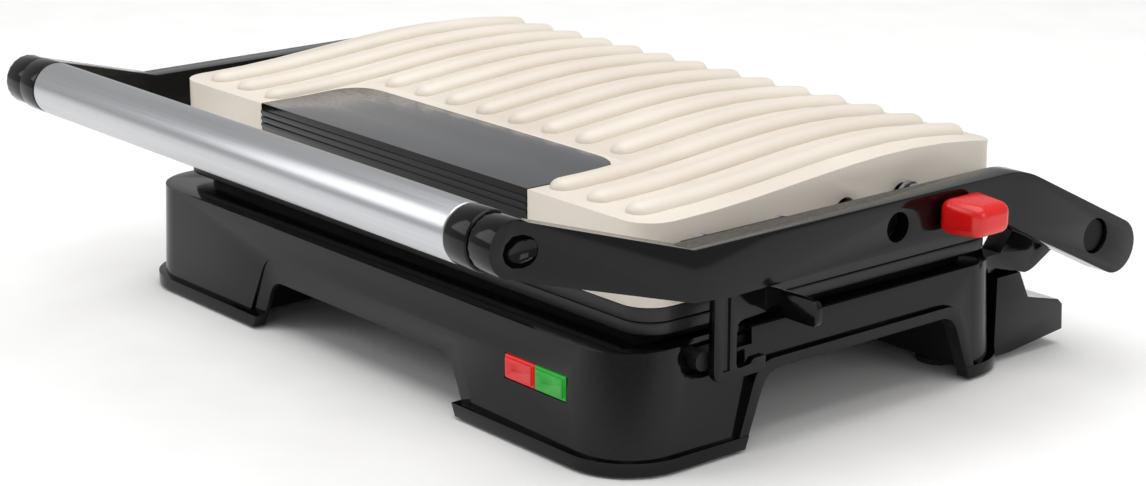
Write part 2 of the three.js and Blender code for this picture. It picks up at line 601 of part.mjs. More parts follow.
const stemBore = bar('x', stemRadius + gap, armInner - overrun, armOuter + overrun, [knobY, knobHeight]);
addPiece('right_arm', cut(arm, stemBore, ...screwHoles), blackGloss);
addPiece('left_arm', geometryOf(arm), blackGloss).scale.x = -1;

const bossInner = armInner - handleSplay - 0.6;
const tubeHalf = bossInner - gap - ferruleLength;
const tubeInner = tubeRadius - tubeWall;
addPiece('handle_tube', cut(bar('x', tubeRadius, -tubeHalf, tubeHalf, [-handleReach, handleHeight], 24),
  bar('x', tubeInner, -tubeHalf - 1, tubeHalf + 1, [-handleReach, handleHeight], 24)), aluminium);
const spigot = 14; // ferrule length inside the tube
addPair('ferrule', cut(join(
  bar('x', tubeRadius, tubeHalf + gap, bossInner - gap, [-handleReach, handleHeight], 24),
  bar('x', tubeInner - gap - 0.1, tubeHalf - spigot, tubeHalf + 1, [-handleReach, handleHeight], 16),
), bar('x', 2.1, tubeHalf - spigot - 1, bossInner, [-handleReach, handleHeight], 12)), blackGloss);
addPair('handle_bolt', join(
  bar('x', 1.8, tubeHalf - 4, bossInner + 3, [-handleReach, handleHeight], 12),
  bar('x', 2.3, bossInner + 1, bossInner + 4, [-handleReach, handleHeight], 12),
), steel);

const shaftHalf = armOuter - tipHoleDepth - gap;
const boltShank = 2;
addPiece('hinge_shaft', cut(bar('x', shaftRadius, -shaftHalf, shaftHalf, [hingeY, partingZ], 20),
  ...[-1, 1].map((side) => bar('x', boltShank + gap, Math.min(side * shaftHalf, side * (shaftHalf - 12)) - 0.5,
    Math.max(side * shaftHalf, side * (shaftHalf - 12)) + 0.5, [hingeY, partingZ], 12))), steel);
addPair('hinge_bolt', join(
  bar('x', boltHeadRadius, armOuter - tipHoleDepth + gap, armOuter - 1.2, [hingeY, partingZ], 18),
  bar('x', boltShank, shaftHalf - 9, armOuter - 2, [hingeY, partingZ], 12),
), steel);
const beamHalf = earHalf - earThickness - gap;
addPiece('rear_crossbeam', cut(bar('x', beamRadius, -beamHalf, beamHalf, [hingeY, partingZ], 20),
  bar('x', shaftRadius + gap, -beamHalf - 1, beamHalf + 1, [hingeY, partingZ])), blackSatin);

const pivotInner = plateHalf - coverWall - 9;
addPair('lid_pivot', bar('x', pivotRadius, pivotInner + gap, armOuter - 4.6, [pivotY, pivotHeight], 20),
  steel);

// ---- lid ----------------------------------------------------------------------------------------
const lidDepth = plateY1 - plateY0;
const crestY = plateY0 + crestShare * lidDepth;
const archY0 = plateY0 + archStart;
function archHeight(y) {
  if (y <= archY0) return coverFrontHeight;
  if (y <= crestY) {
    const t = (y - archY0) / (crestY - archY0);
    return coverFrontHeight + (coverCrestHeight - coverFrontHeight) * t * t * (3 - 2 * t);
  }
  const t = (y - crestY) / (plateY1 - crestY);
  return coverCrestHeight - (coverCrestHeight - coverRearHeight) * t * t;
}
// The space under the arch, raised by `rise`, between two depths.
function underArch(y0, y1, rise, z0, half, steps = 11) {
  const points = [[y0, z0], [y1, z0]];
  for (let i = steps; i >= 0; i -= 1) {
    const y = y0 + (y1 - y0) * i / steps;
    points.push([y, archHeight(y) + rise]);
  }
  return alongX(outline(points), -half, half);
}
const ribPitch = (2 * plateHalf - 28) / (ribCount - 1);
const badgeY1 = plateY0 + badgeDepth;
const badgeHalf = badgeWidth / 2;
function badgePlan(grow) {
  const half = badgeHalf + grow;
  const rear = badgeY1 + grow;
  return roundedOutline([[-half, plateY0 - 5], [half, plateY0 - 5], [half, rear, badgeCorner + grow],
    [-half, rear, badgeCorner + grow]]);
}
const lockHole = stemRadius + 1.2; // leaves room for the lid's float
const frameSheet = 2;
const frameZ = 2 * partingZ - reflectorZ + gap + 0.5;
const lidPostX = tubHalf - 6;
const lidScrewPlaces = [];
for (const side of [-1, 1]) {
  for (const y of [plateY0 + 24, plateY1 - 21]) lidScrewPlaces.push([side * lidPostX, y]);
}

function lidCover() {
  const body = slab(plateHalf, plateY0, plateY1, plateCorner, coverZ, coverCrestHeight + 5, 4)
    .intersect(underArch(plateY0, plateY1, 0, coverZ - 1, plateHalf + 1));
  const inside = slab(plateHalf - coverWall, plateY0 + coverWall, plateY1 - coverWall,
    plateCorner - coverWall, coverZ - overrun, coverCrestHeight + 5, 3)
    .intersect(underArch(plateY0, plateY1, -coverWall, coverZ - 2 * overrun, plateHalf));
  const ribs = [];
  for (let i = 0; i < ribCount; i += 1) {
    const x = (i - (ribCount - 1) / 2) * ribPitch;
    const start = Math.abs(x) < badgeHalf ? badgeY1 + badgeToRib : plateY0 + ribFrontInset;
    const foot = roundedOutline([[x - ribWidth / 2, start, 4], [x + ribWidth / 2, start, 4],
      [x + ribWidth / 2, plateY1 - ribRearInset], [x - ribWidth / 2, plateY1 - ribRearInset]]);
    ribs.push(alongZ(foot, coverFrontHeight - 1, coverCrestHeight + 5, 2));
  }
  const ribBand = join(...ribs).intersect(
    underArch(plateY0, plateY1, ribHeight, coverFrontHeight - 2, plateHalf));
  const badgeSeat = badgeThickness + gap;
  const badgeRecess = cut(alongZ(badgePlan(gap), coverZ - overrun, coverCrestHeight + 5),
    underArch(plateY0 + badgeSeat, badgeY1 + 9, -badgeSeat, 0, plateHalf));
  const posts = lidScrewPlaces.map((place) => bar(
    'z', 4, frameZ + frameSheet + gap, archHeight(place[1]) - 1, place, 8));
  const pivotHoles = bar('x', pivotRadius + 0.6, -plateHalf - 1, plateHalf + 1, [pivotY, pivotHeight]);
  const lockSocket = bar('x', lockHole, plateHalf - 6, plateHalf + 1, [knobY, knobHeight]);
  return cut(join(cut(join(body, ribBand), inside), ...posts), badgeRecess, pivotHoles, lockSocket,
    ...lidScrewPlaces.map((place) => bar('z', postHole, frameZ, frameZ + 8, place, 6)));
}
addPiece('lid_cover', lidCover(), creamPlastic);

const badge = alongZ(badgePlan(0), coverZ, coverCrestHeight + 5)
  .intersect(underArch(plateY0, badgeY1 + 5, 0.2, coverZ - 1, plateHalf))
  .subtract(underArch(plateY0 + badgeThickness, badgeY1 + 9, -badgeThickness, 0, plateHalf));
addPiece('badge_panel', badge, greyGloss);

function lidFrame() {
  const half = plateHalf - coverWall - 4;
  const pan = cut(
    slab(half, plateY0 + coverWall + 6, plateY1 - coverWall - 6, 6, frameZ, frameZ + frameSheet, 4),
    slab(half - 34, plateY0 + 40, plateY1 - 40, 10, frameZ - 1, frameZ + 9, 4));
  const bearings = [-1, 1].map((side) => {
    const x = [side * (half - 12), side * (plateHalf - coverWall - gap)];
    return block(Math.min(...x), Math.max(...x), pivotY - 8, pivotY + 8, pivotHeight - 6,
      coverFrontHeight - coverWall - 1.4);
  });
  const bores = [bar('x', pivotRadius + gap, pivotInner, plateHalf, [pivotY, pivotHeight]),
    bar('x', pivotRadius + gap, -plateHalf, -pivotInner, [pivotY, pivotHeight])];
  const holes = lidScrewPlaces.map((place) => bar('z', postHole + gap, frameZ - 3, frameZ + 9, place, 6));
  return cut(join(pan, ...bearings), ...bores, ...holes);
}
addPiece('lid_frame', lidFrame(), steel);
lidScrewPlaces.forEach((place, i) => {
  const head = bar('z', 3, frameZ - gap - 1.7, frameZ - gap, place, 10);
  const shank = bar('z', postHole - gap, frameZ - 1, frameZ + 7, place, 6);
  addPiece(`lid_screw_${i + 1}`, join(head, shank), steel);
});

// ---- lid lock knob ------------------------------------------------------------------------------
function knobGrip() {
  const root = armOuter + gap;
  const profile = roundedOutline([[-8.5, -5.5, 3], [7, -5.5, 2], [9.5, 1, 2], [9, 5.8, 3], [-2, 5.6, 4],
    [-8.5, 0, 4]]);
  const grip = alongX(profile, root, root + knobDepth, 4);
  return solid(geometryOf(grip).translate(0, knobY, knobHeight - 0.4));
}
const stemInner = plateHalf - 4.6;
const stem = bar('x', stemRadius, stemInner, armOuter + 2, [knobY, knobHeight], 18);
addPiece('release_knob', join(knobGrip(), stem), redPlastic);
const clipX = plateHalf + 2.4;
const clipThickness = 1.2;
addPiece('spring_clip', cut(bar('x', stemRadius + 2.2, clipX, clipX + clipThickness, [knobY, knobHeight], 16),
  bar('x', stemRadius + gap, clipX - 1, clipX + 4, [knobY, knobHeight], 16)), steel);
const springWire = 0.6;
const springRadius = stemRadius + 1.4;
const springLow = clipX + clipThickness + gap + springWire;
const springHigh = armInner - gap - springWire;
const coilTurns = 4;
const stepsPerTurn = 10;
class Helix extends THREE.Curve {
  getPoint(t, target = new THREE.Vector3()) {
    const angle = 2 * Math.PI * coilTurns * t;
    return target.set(springLow + (springHigh - springLow) * t, knobY + springRadius * Math.cos(angle),
      knobHeight + springRadius * Math.sin(angle));
  }
}
const springSection = outline([[springWire, 0], [0, springWire], [-springWire, 0], [0, -springWire]]);
addPiece('knob_spring', solid(new THREE.ExtrudeGeometry(springSection,
  { steps: coilTurns * stepsPerTurn, extrudePath: new Helix(), bevelEnabled: false })), steel);

// ---- storage latch ------------------------------------------------------------------------------
const latchInner = rimHalf + lipOut + gap; // inner face of the latch plate, clear of the lip
const latchOuter = latchInner + latchThickness;
const latchRear = latchFront + 22.1;
const latchTop = armBottom + 7.6;
const headBottom = latchTop - 2.4;
const tabZ = armBottom - tabBelowArm;
function latchSlider() {
  const f = latchFront;
  const profile = roundedOutline([[f, latchTop], [f, pegZ - 7.1, 4], [f + 19, pegZ - 6.8, 1],
    [f + 20.6, pegZ - 5.8, 1], [f + 20.6, pegZ - 2, 0.6], [f + 15.8, pegZ - 2.2, 1],
    [f + 14.4, pegZ - 3.6, 1], [f + 9.4, pegZ - 4, 1], [f + 8.8, pegZ - 2.4, 1],
    [f + 8.8, tabZ - 0.8, 3], [latchRear, tabZ], [latchRear, latchTop]]);
  const plate = alongX(profile, latchInner, latchOuter, 3);
  const head = block(latchInner - 0.9, latchOuter + 0.9, f, latchRear, headBottom, latchTop);
  const tabTip = latchInner + tabReach;
  const tabOutline = roundedOutline([[latchInner, tabZ], [tabTip, tabZ, 2.5], [tabTip, tabZ + tabHeight, 2.5],
    [latchInner, tabZ + tabHeight]]);
  const tab = alongY(tabOutline, latchRear - 2, latchRear, 3);
  const groove = block(latchOuter - 0.7, latchOuter + 1, f + 3.4, f + 6.2,
    pegZ - 3.9, tabZ + tabHeight - 0.7);
  const hook = block(latchInner - hookReach, latchInner + 0.5, f + 3, f + 8.6, pegZ - 6.4,
    pegZ - pegRadius - 1.2);
  return cut(join(plate, head, tab, hook), groove);
}
addPiece('latch_slider', latchSlider(), blackGloss);

const pegPlace = [latchFront - 1.7, pegZ];
addPiece('latch_catch', join(
  block(rimHalf - 4.6, rimHalf - baseWall - gap, notchFront - 5, notchRear + 5, pegZ - 6.2, ledgeZ - gap),
  bar('x', pegRadius, rimHalf - 3, latchInner - gap, pegPlace, 16),
), blackSatin);

function latchGuide() {
  const y0 = latchFront - latchTravel - 1;
  const y1 = latchRear + 10;
  const body = block(latchInner - 2.8, armInner - gap, y0, y1, headBottom - 2.6, armTop - 2.6);
  const neck = block(latchInner - gap, latchOuter + gap, y0 - 1, y1 + 1, headBottom - 9, latchTop);
  const slot = block(latchInner - 0.9 - gap, latchOuter + 0.9 + gap, y0 - 1, y1 + 1,
    headBottom - gap, latchTop + gap);
  const holes = latchScrewY.map((y) => bar('x', 1.8, latchInner - 9, armInner + 1, [y, latchScrewZ], 10));
  return cut(body, neck, slot, ...holes);
}
addPiece('latch_guide', latchGuide(), blackSatin);
latchScrewY.forEach((y, i) => {
  const headOuter = latchInner - 2.8 - gap;
  addPiece(`guide_screw_${i + 1}`, join(
    bar('x', 2.7, headOuter - 1.5, headOuter, [y, latchScrewZ], 14),
    bar('x', 1.5, headOuter - 0.5, armInner + 4, [y, latchScrewZ], 10),
  ), steel);
});

// ---- the part's own frame -----------------------------------------------------------------------
panini.updateMatrixWorld(true);
const box = new THREE.Box3().setFromObject(panini, true);
panini.position.set(-(box.min.x + box.max.x) / 2, -(box.min.y + box.max.y) / 2, -box.min.z);

export default panini;
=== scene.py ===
import json
import math
import bpy
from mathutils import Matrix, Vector


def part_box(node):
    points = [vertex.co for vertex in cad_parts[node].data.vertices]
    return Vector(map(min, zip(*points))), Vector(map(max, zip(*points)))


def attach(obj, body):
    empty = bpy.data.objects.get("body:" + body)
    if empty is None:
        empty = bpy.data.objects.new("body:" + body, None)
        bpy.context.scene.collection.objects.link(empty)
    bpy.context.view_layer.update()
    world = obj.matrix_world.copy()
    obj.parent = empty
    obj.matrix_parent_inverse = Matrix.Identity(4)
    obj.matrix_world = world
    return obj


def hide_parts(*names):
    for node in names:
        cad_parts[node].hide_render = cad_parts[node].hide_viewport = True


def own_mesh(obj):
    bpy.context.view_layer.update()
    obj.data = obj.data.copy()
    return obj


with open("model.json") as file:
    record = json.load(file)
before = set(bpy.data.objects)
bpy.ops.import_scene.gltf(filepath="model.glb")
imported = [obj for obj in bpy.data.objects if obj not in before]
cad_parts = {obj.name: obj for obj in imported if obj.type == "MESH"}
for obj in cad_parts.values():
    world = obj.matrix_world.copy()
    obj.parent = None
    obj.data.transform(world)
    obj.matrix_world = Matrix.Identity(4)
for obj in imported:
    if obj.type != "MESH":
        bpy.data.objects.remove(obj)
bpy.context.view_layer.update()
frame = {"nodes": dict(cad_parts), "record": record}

nodes = frame["nodes"]
mm = 0.001
bpy.ops.object.select_all(action="DESELECT")


def linearColour(hexText):  # an sRGB hex value to the linear colour that the shader takes
    parts = [int(hexText[i:i + 2], 16) / 255 for i in (1, 3, 5)]
    return [c / 12.92 if c <= 0.04045 else ((c + 0.055) / 1.055) ** 2.4 for c in parts] + [1]


def addNode(tree, kind, settings=None, links=None):
    node = tree.nodes.new(kind)
    for name, value in (settings or {}).items():
        if name in node.inputs:
            node.inputs[name].default_value = value
        else:
            setattr(node, name, value)
    for name, source in (links or {}).items():
        tree.links.new(source, node.inputs[name])
    return node


def startMaterial(name):
    material = bpy.data.materials.new(name)
    material.use_nodes = True
    tree = material.node_tree
    shader = tree.nodes["Principled BSDF"]
    place = addNode(tree, "ShaderNodeTexCoord").outputs["Object"]
    return material, tree, shader, place


noiseLow, noiseHigh = 0.3, 0.7  # nearly all of a noise lies between these


def spread(tree, source, low, high):  # a noise turned into a range of values
    settings = {"From Min": noiseLow, "From Max": noiseHigh, "To Min": low, "To Max": high}
    return addNode(tree, "ShaderNodeMapRange", settings, {"Value": source}).outputs["Result"]


def tint(tree, source, dark, light):  # two close shades of one colour, mixed by a pattern
    ramp = addNode(tree, "ShaderNodeValToRGB", {}, {"Fac": source})
    ramp.color_ramp.elements[0].position = noiseLow
    ramp.color_ramp.elements[1].position = noiseHigh
    ramp.color_ramp.elements[0].color = linearColour(dark)
    ramp.color_ramp.elements[1].color = linearColour(light)
    return ramp.outputs["Color"]


moulded = {"ior": 1.53, "shine": 0.5, "bumpHeight": 0.02, "glowStrength": 0.2}  # what every plastic starts from


def mouldedPlastic(name, finish):
    # plastic pressed against a tool: slow waves from uneven cooling, and a fine texture from the tool's own surface
    material, tree, shader, place = startMaterial(name)
    waves = addNode(tree, "ShaderNodeTexNoise", {"Scale": 1 / (finish["wave"] * mm), "Detail": 2},
                    {"Vector": place})
    grain = addNode(tree, "ShaderNodeTexNoise", {"Scale": 1 / (finish["grain"] * mm), "Detail": 3},
                    {"Vector": place})
    tree.links.new(tint(tree, waves.outputs["Fac"], *finish["colours"]), shader.inputs["Base Color"])
    tree.links.new(spread(tree, grain.outputs["Fac"], *finish["roughness"]), shader.inputs["Roughness"])
    bump = addNode(tree, "ShaderNodeBump", {"Strength": finish["bump"], "Distance": moulded["bumpHeight"] * mm},
                   {"Height": grain.outputs["Fac"]})
    tree.links.new(bump.outputs["Normal"], shader.inputs["Normal"])
    shader.inputs["IOR"].default_value = moulded["ior"]
    shader.inputs["Specular IOR Level"].default_value = finish.get("shine", moulded["shine"])
    if "glow" in finish:
        shader.inputs["Emission Color"].default_value = linearColour(finish["glow"])
        shader.inputs["Emission Strength"].default_value = moulded["glowStrength"]
    return material


plastics = {  # wave and grain are in millimetres
    "blackGlossAbs": {  # deep black with sharp reflections
        "colours": ("#050506", "#09090a"), "roughness": (0.07, 0.14), "wave": 45, "grain": 1.4, "bump": 0.04,
        "shine": 0.24},
    "blackSatinAbs": {  # black with a broad, dull sheen
        "colours": ("#0a0a0b", "#101011"), "roughness": (0.42, 0.55), "wave": 40, "grain": 0.9, "bump": 0.3,
        "shine": 0.3},
    "creamSatinAbs": {  # warm off-white, between matte and satin
        "colours": ("#dcd2c5", "#e5ddd1"), "roughness": (0.30, 0.42), "wave": 60, "grain": 1.1, "bump": 0.12},
    "greyGlossAcrylic": {  # mid grey that mirrors what stands behind it
        "colours": ("#46474a", "#505154"), "roughness": (0.12, 0.2), "wave": 50, "grain": 1.5, "bump": 0.04},
    "redGlossAbs": {  # saturated red with soft highlights
        "colours": ("#cc0d0d", "#dc1614"), "roughness": (0.16, 0.28), "wave": 12, "grain": 0.8, "bump": 0.06},
    "redPolycarbonate": {  # lit from behind
        "colours": ("#b80e0e", "#d01818"), "roughness": (0.05, 0.10), "wave": 6, "grain": 0.8, "bump": 0.03,
        "glow": "#ff1408"},
    "greenPolycarbonate": {  # lit from behind
        "colours": ("#0c7a1c", "#149428"), "roughness": (0.05, 0.10), "wave": 6, "grain": 0.8, "bump": 0.03,
        "glow": "#04c81e"},
    "steatiteCeramic": {  # chalky and dry
        "colours": ("#dcd6c8", "#e8e3d8"), "roughness": (0.50, 0.70), "wave": 8, "grain": 0.5, "bump": 0.3},
    "glassEpoxyBoard": {  # green with the weave just showing
        "colours": ("#1f5c30", "#2b6b3a"), "roughness": (0.35, 0.50), "wave": 5, "grain": 0.6, "bump": 0.2},
    "glassFibreSleeve": {  # brick red and rough, like braid
        "colours": ("#7c2619", "#933224"), "roughness": (0.65, 0.80), "wave": 2, "grain": 0.4, "bump": 0.6},
    "mouldedRubber": {  # charcoal with hardly any shine
        "colours": ("#1c1c1d", "#262627"), "roughness": (0.75, 0.90), "wave": 9, "grain": 0.6, "bump": 0.5},
}
nonstick = {
    "colours": ("#0e0e0f", "#171718"), "roughness": (0.36, 0.5), "peel": 1.2, "bump": 0.35, "bumpHeight": 0.03,
}


def castNonstick(name):
    # die-cast aluminium under sprayed non-stick: dark, with a fine orange peel and a soft sheen, no bare metal
    material, tree, shader, place = startMaterial(name)
    peel = addNode(tree, "ShaderNodeTexNoise", {"Scale": 1 / (nonstick["peel"] * mm), "Detail": 4},
                   {"Vector": place})
    tree.links.new(tint(tree, peel.outputs["Fac"], *nonstick["colours"]), shader.inputs["Base Color"])
    tree.links.new(spread(tree, peel.outputs["Fac"], *nonstick["roughness"]), shader.inputs["Roughness"])
    bump = addNode(tree, "ShaderNodeBump", {"Strength": nonstick["bump"], "Distance": nonstick["bumpHeight"] * mm},
                   {"Height": peel.outputs["Fac"]})
    tree.links.new(bump.outputs["Normal"], shader.inputs["Normal"])
    return material


drawn = {"lineWidth": 0.5, "lineLength": 60, "bump": 0.05, "bumpHeight": 0.01}  # lines wide enough to show


def drawnMetal(name, colours, roughness):
    # drawn metal: fine lines along x, the way it was pulled, which stretch its highlights across
    material, tree, shader, place = startMaterial(name)
    across, along = 1 / (drawn["lineWidth"] * mm), 1 / (drawn["lineLength"] * mm)
    mapping = addNode(tree, "ShaderNodeMapping", {"Scale": (along, across, across)}, {"Vector": place})
    lines = addNode(tree, "ShaderNodeTexNoise", {"Scale": 1, "Detail": 2}, {"Vector": mapping.outputs["Vector"]})
    tree.links.new(tint(tree, lines.outputs["Fac"], *colours), shader.inputs["Base Color"])
    tree.links.new(spread(tree, lines.outputs["Fac"], *roughness), shader.inputs["Roughness"])
    bump = addNode(tree, "ShaderNodeBump", {"Strength": drawn["bump"], "Distance": drawn["bumpHeight"] * mm},
                   {"Height": lines.outputs["Fac"]})
    tree.links.new(bump.outputs["Normal"], shader.inputs["Normal"])
    shader.inputs["Metallic"].default_value = 1
    return material


finishes = {name: mouldedPlastic(name, finish) for name, finish in plastics.items()}
finishes["castNonstick"] = castNonstick("castNonstick")
metals = {
    "satinAluminium": (("#c2c4c8", "#c9cbce"), (0.28, 0.33)),  # pale, with soft streaks along the tube
    "zincPlatedSteel": (("#9fa1a5", "#b0b2b6"), (0.30, 0.42)),  # a shade darker and duller
    "blackOxideSteel": (("#1a1a1c", "#232326"), (0.32, 0.45)),  # near black: painted shade for steel that sits in a recess, with a dull edge of light
}
for name, (colours, roughness) in metals.items():
    finishes[name] = drawnMetal(name, colours, roughness)
slotFinish = {
    "black_gloss": "blackGlossAbs", "black_satin": "blackSatinAbs", "cream": "creamSatinAbs",
    "badge_grey": "greyGlossAcrylic", "nonstick": "castNonstick", "aluminium": "satinAluminium",
    "steel": "zincPlatedSteel", "red_plastic": "redGlossAbs", "red_lens": "redPolycarbonate",
    "green_lens": "greenPolycarbonate", "rubber": "mouldedRubber", "ceramic": "steatiteCeramic",
    "circuit_board": "glassEpoxyBoard", "wire_sleeve": "glassFibreSleeve",
}
slotOf = {part["node"]: part["material_slot"] for part in frame["record"]["subparts"]}
bodyOf = {name: body for body, names in frame["record"]["behaviour"]["bodies"].items() for name in names}
# steel that shows in a recess is painted near black, as painted shade
shadedInRecess = ("right_hinge_bolt", "left_hinge_bolt", "right_lid_pivot", "left_lid_pivot")
for name, thing in nodes.items():
    thing.data.materials.clear()
    thing.data.materials.append(finishes["blackOxideSteel" if name in shadedInRecess else slotFinish[slotOf[name]]])
print("materials on", len(nodes), "nodes")


smoothAngle = math.radians(32)


def pick(thing):
    bpy.ops.object.select_all(action="DESELECT")
    thing.select_set(True)
    bpy.context.view_layer.objects.active = thing


def modifier(thing, kind, **settings):
    pick(thing)
    added = thing.modifiers.new(kind.title(), kind)
    for name, value in settings.items():
        setattr(added, name, value)
    bpy.ops.object.modifier_apply(modifier=added.name)


def roundEdges(thing, radius, angle, segments=3):  # millimetres, and degrees that an edge has to turn
    modifier(thing, "BEVEL", width=radius * mm, segments=segments, limit_method="ANGLE",
             angle_limit=math.radians(angle), use_clamp_overlap=True)


def settle(thing, name, node, *also):  # a finished piece gets its finish, its body and the nodes it stands for
    thing.name = name
    thing.data.name = name
    pick(thing)
    bpy.ops.object.transform_apply(location=True, rotation=True, scale=True)
    thing.data.materials.clear()
    thing.data.materials.append(finishes[slotFinish[slotOf[node]]])
    bpy.ops.object.shade_smooth_by_angle(angle=smoothAngle)
    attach(thing, bodyOf[node])
    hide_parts(node, *also)


merging = {"doubles": 0.005, "flat": 0.5}  # millimetres and degrees
softEdges = {  # rounding of each moulding's edges in millimetres, and how sharp an edge has to be to get it
    "base_housing": (0.55, 38), "bottom_cover": (0.5, 38), "lower_plate": (0.7, 40), "upper_plate": (0.7, 40),
    "right_arm": (1.5, 38), "left_arm": (1.5, 38), "latch_slider": (0.35, 38), "latch_guide": (0.4, 40),
    "cord_gland": (0.4, 40), "foot_front_right": (0.5, 50), "foot_front_left": (0.5, 50),
    "foot_rear_right": (0.5, 50), "foot_rear_left": (0.5, 50), "rear_crossbeam": (0.6, 50),
}


def mergedCopy(node):  # a node's own shape as a mesh that can be worked on
    thing = nodes[node].copy()
    thing.data = nodes[node].data.copy()
    for key in list(thing.keys()):
        del thing[key]
    bpy.context.scene.collection.objects.link(thing)
    thing.parent = None
    pick(thing)
    bpy.ops.object.mode_set(mode="EDIT")
    bpy.ops.mesh.select_all(action="SELECT")
    bpy.ops.mesh.remove_doubles(threshold=merging["doubles"] * mm)
    bpy.ops.mesh.dissolve_limited(angle_limit=math.radians(merging["flat"]))
    bpy.ops.object.mode_set(mode="OBJECT")
    return thing


def moulding(node):  # a moulded part's edges are never knife sharp: each takes a line of light
    thing = mergedCopy(node)
    roundEdges(thing, *softEdges[node])
    settle(thing, node + "_moulding", node)


for node in softEdges:
    moulding(node)
print("mouldings with soft edges:", len(softEdges))


def selectFaces(thing, wanted):  # leaves the piece in edit mode with those faces selected
    pick(thing)
    bpy.ops.object.mode_set(mode="EDIT")
    bpy.ops.mesh.select_mode(type="FACE")
    bpy.ops.mesh.select_all(action="DESELECT")
    bpy.ops.object.mode_set(mode="OBJECT")
    for face in thing.data.polygons:
        face.select = wanted(face)
    bpy.ops.object.mode_set(mode="EDIT")


lid = {  # millimetres; the arch runs from the lid's front wall to its rear one
    "frontRun": 14, "crest": 105.14, "crestRise": 5.4, "rearFall": 4.2, "ribs": 14, "pitch": 17.2,
    "ribHalfWidth": 4.2, "ribHeight": 3.1, "flatRib": 2.2, "ribSides": 24, "ribSteps": 18, "ribFront": 5.5,
    "ribBehindBadge": 44, "ribRear": 5, "rearRound": 2.6, "endTurns": (12, 30, 50, 70, 90), "badgeHalf": 72,
    "doubles": 0.03, "flat": 0.7, "edgeRound": 0.8, "edgeAngle": 60,
}
lidLow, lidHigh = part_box("lid_cover")
lidDepth = (lidHigh.y - lidLow.y) / mm
lidMiddle = (lidLow.x + lidHigh.x) / 2
archFoot = lidHigh.z / mm - lid["flatRib"] - lid["crestRise"]


def archHeight(y):  # the lid's top at a depth behind its front wall, in millimetres
    if y <= lid["frontRun"]:
        return archFoot
    if y <= lid["crest"]:
        t = (y - lid["frontRun"]) / (lid["crest"] - lid["frontRun"])
        return archFoot + lid["crestRise"] * t * t * (3 - 2 * t)
    t = (y - lid["crest"]) / (lidDepth - lid["crest"])
    return archFoot + lid["crestRise"] - lid["rearFall"] * t * t


def rib(front):  # a half-round rod along the arch, half sunk in it, with rounded ends
    rear = lidDepth - lid["ribRear"]
    width, back = lid["ribHalfWidth"], lid["rearRound"]
    turns = [math.radians(a) for a in lid["endTurns"]]
    stations = [(front + width * (1 - math.cos(a)), math.sin(a)) for a in turns]
    first, last = front + width, rear - back
    stations += [(first + (last - first) * i / lid["ribSteps"], 1) for i in range(1, lid["ribSteps"] + 1)]
    stations += [(last + back * math.cos(a), math.sin(a)) for a in reversed(turns[:-1])]
    centres = [Vector((0, lidLow.y + y * mm, archHeight(y) * mm)) for y, size in stations]
    bpy.ops.object.select_all(action="DESELECT")
    bpy.ops.mesh.primitive_circle_add(vertices=lid["ribSides"], radius=mm, fill_type="NGON", location=centres[0],
                                      rotation=(math.pi / 2, 0, 0))
    thing = bpy.context.object
    thing.scale = (width * stations[0][1], lid["ribHeight"] * stations[0][1], 1)
    bpy.ops.object.transform_apply(location=True, rotation=True, scale=True)
    bpy.ops.object.mode_set(mode="EDIT")
    bpy.ops.mesh.select_all(action="SELECT")
    for i in range(1, len(stations)):
        bpy.ops.mesh.extrude_region_move(TRANSFORM_OT_translate={"value": centres[i] - centres[i - 1]})
        grow = stations[i][1] / stations[i - 1][1]
        bpy.ops.transform.resize(value=(grow, 1, grow), center_override=centres[i])
    bpy.ops.mesh.select_all(action="SELECT")
    bpy.ops.mesh.normals_make_consistent(inside=False)
    bpy.ops.object.mode_set(mode="OBJECT")
    return thing


def lidCover():
    cover = mergedCopy("lid_cover")
    for point in cover.data.vertices:  # the flat ribs sink into the arch, to make room for the round ones
        if point.co.z / mm > archHeight((point.co.y - lidLow.y) / mm) + lid["flatRib"] / 2:
            point.co.z -= lid["flatRib"] * mm
    bpy.ops.object.mode_set(mode="EDIT")
    bpy.ops.mesh.select_all(action="SELECT")
    bpy.ops.mesh.remove_doubles(threshold=lid["doubles"] * mm)
    bpy.ops.mesh.dissolve_limited(angle_limit=math.radians(lid["flat"]))
    bpy.ops.object.mode_set(mode="OBJECT")
    roundEdges(cover, lid["edgeRound"], lid["edgeAngle"])
    patterns = {"full": rib(lid["ribFront"]), "short": rib(lid["ribBehindBadge"])}
    ribs = []
    for i in range(lid["ribs"]):
        x = (i - (lid["ribs"] - 1) / 2) * lid["pitch"]
        pattern = patterns["short" if abs(x) < lid["badgeHalf"] else "full"]
        copied = pattern.copy()
        copied.data = pattern.data.copy()
        copied.location.x = lidMiddle + x * mm
        bpy.context.scene.collection.objects.link(copied)
        ribs.append(copied)
    for pattern in patterns.values():
        bpy.data.objects.remove(pattern)
    bpy.ops.object.select_all(action="DESELECT")
    for copied in ribs:
        copied.select_set(True)
    cover.select_set(True)
    bpy.context.view_layer.objects.active = cover
    bpy.ops.object.join()
    settle(cover, "lid_cover_moulding", "lid_cover")


lidCover()
print("lid and", lid["ribs"], "ribs done")

badge = {  # millimetres; each step runs between two depths under the top edge
    "steps": ((2.2, 3.2), (4.4, 5.4), (6.6, 7.6)), "stepOut": 0.45, "edgeRound": 0.5, "edgeAngle": 45,
    "front": -0.9, "blackFrom": -0.7,  # how far a face has to look forward
}


